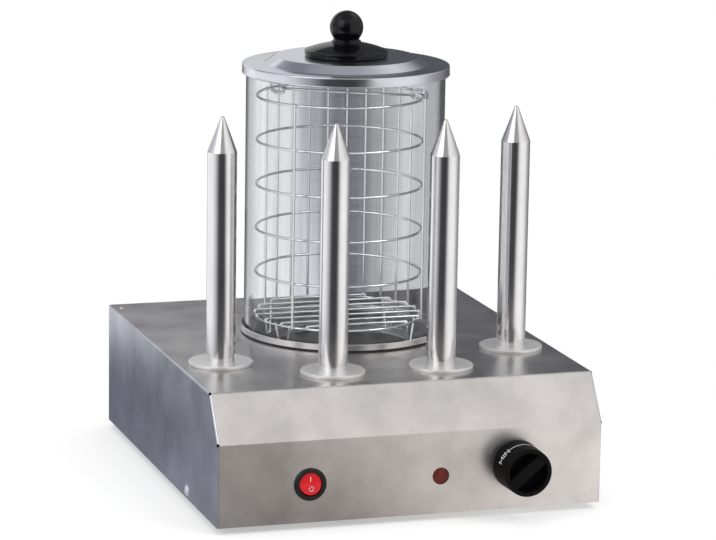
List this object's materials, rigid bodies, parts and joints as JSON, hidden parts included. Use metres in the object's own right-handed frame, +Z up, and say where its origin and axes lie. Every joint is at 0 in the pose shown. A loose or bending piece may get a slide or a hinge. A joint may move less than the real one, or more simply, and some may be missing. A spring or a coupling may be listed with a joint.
{
  "type": "hot dog toaster",
  "caption": "Electric hot dog maker: folded steel housing with heated bun spikes, a glass steam cylinder with wire basket and lid, rocker switch, lamp and thermostat knob.",
  "frame": {"origin": "on the floor plane, in the middle of the plan from the face of the thermostat knob to the end of the cable gland and between the side screws", "axes": "+Z up, +X to the right seen from the front, +Y to the back"},
  "size_m": [0.3544, 0.445, 0.4159],
  "materials": {
    "housing_steel": "brushed",
    "base_steel": "mill",
    "fastener_steel": "polished",
    "polished_steel": "polished",
    "disc_steel": "brushed",
    "heater_metal": "satin",
    "basket_wire": "polished",
    "gasket_black": "matt",
    "basin_steel": "satin",
    "ring_steel": "satin",
    "glass_clear": "clear",
    "lid_steel": "brushed",
    "knob_gloss_black": "gloss",
    "switch_black": "satin",
    "rocker_red": "gloss",
    "brass_terminal": "satin",
    "lens_red": "gloss",
    "lamp_plastic": "matt",
    "knob_black": "satin",
    "thermostat_plastic": "matt",
    "gland_black": "matt",
    "terminal_white": "matt",
    "rubber_black": "matt"
  },
  "bodies": {
    "housing": {"housing_shell": "housing_steel", "side_panel_left": "housing_steel", "side_panel_right": "housing_steel", "base_plate": "base_steel", "side_screws": "fastener_steel", "foot_front_left": "rubber_black", "foot_front_right": "rubber_black", "foot_rear_left": "rubber_black", "foot_rear_right": "rubber_black", "spike_nuts": "fastener_steel", "spike_outer_left": "polished_steel", "disc_outer_left": "disc_steel", "heater_outer_left": "heater_metal", "spike_inner_left": "polished_steel", "disc_inner_left": "disc_steel", "heater_inner_left": "heater_metal", "spike_inner_right": "polished_steel", "disc_inner_right": "disc_steel", "heater_inner_right": "heater_metal", "spike_outer_right": "polished_steel", "disc_outer_right": "disc_steel", "heater_outer_right": "heater_metal", "basin_gasket": "gasket_black", "basin_rim": "basin_steel", "water_basin": "basin_steel", "base_ring": "ring_steel", "plate_heater": "heater_metal", "switch_body": "switch_black", "switch_terminals": "brass_terminal", "lamp_lens": "lens_red", "lamp_body": "lamp_plastic", "thermostat_body": "thermostat_plastic", "cable_gland": "gland_black", "gland_nut": "gland_black", "terminal_block": "terminal_white"},
    "glass": {"glass_cylinder": "glass_clear"},
    "basket": {"basket_ring_1": "basket_wire", "basket_ring_2": "basket_wire", "basket_ring_3": "basket_wire", "basket_ring_4": "basket_wire", "basket_ring_5": "basket_wire", "basket_ring_6": "basket_wire", "basket_uprights": "basket_wire", "basket_grid": "basket_wire", "basket_feet": "basket_wire"},
    "basket_handle": {"basket_handle": "basket_wire"},
    "lid": {"lid": "lid_steel", "lid_skirt": "lid_steel", "lid_knob": "knob_gloss_black", "lid_knob_screw": "fastener_steel"},
    "rocker": {"switch_rocker": "rocker_red"},
    "thermostat_knob": {"thermostat_knob": "knob_black", "thermostat_shaft": "fastener_steel"}
  },
  "joints": [
    {"name": "thermostat_turn", "type": "hinge", "parent": "housing", "child": "thermostat_knob", "pos_m": [0.0962, -0.1915, 0.0453], "axis": [0, 1, 0], "range_deg": [0, 270]},
    {"name": "power_rock", "type": "hinge", "parent": "housing", "child": "rocker", "pos_m": [-0.0923, -0.1885, 0.04], "axis": [1, 0, 0], "range_deg": [0, 14]},
    {"name": "glass_lift", "type": "slide", "parent": "housing", "child": "glass", "axis": [0, 0, 1], "range_m": [0, 0.25]},
    {"name": "basket_lift", "type": "slide", "parent": "glass", "child": "basket", "axis": [0, 0, 1], "range_m": [0, 0.265]},
    {"name": "lid_lift", "type": "slide", "parent": "basket", "child": "lid", "axis": [0, 0, 1], "range_m": [0, 0.1]},
    {"name": "handle_raise", "type": "hinge", "parent": "basket", "child": "basket_handle", "pos_m": [0.01763, 0.06644, 0.3385], "axis": [-0.8415, 0.5402, 0], "range_deg": [0, 82]}
  ],
  "couplings": [
    {"joint": "handle_raise", "follows": "lid_lift", "rad_per_m": 14.3}
  ]
}
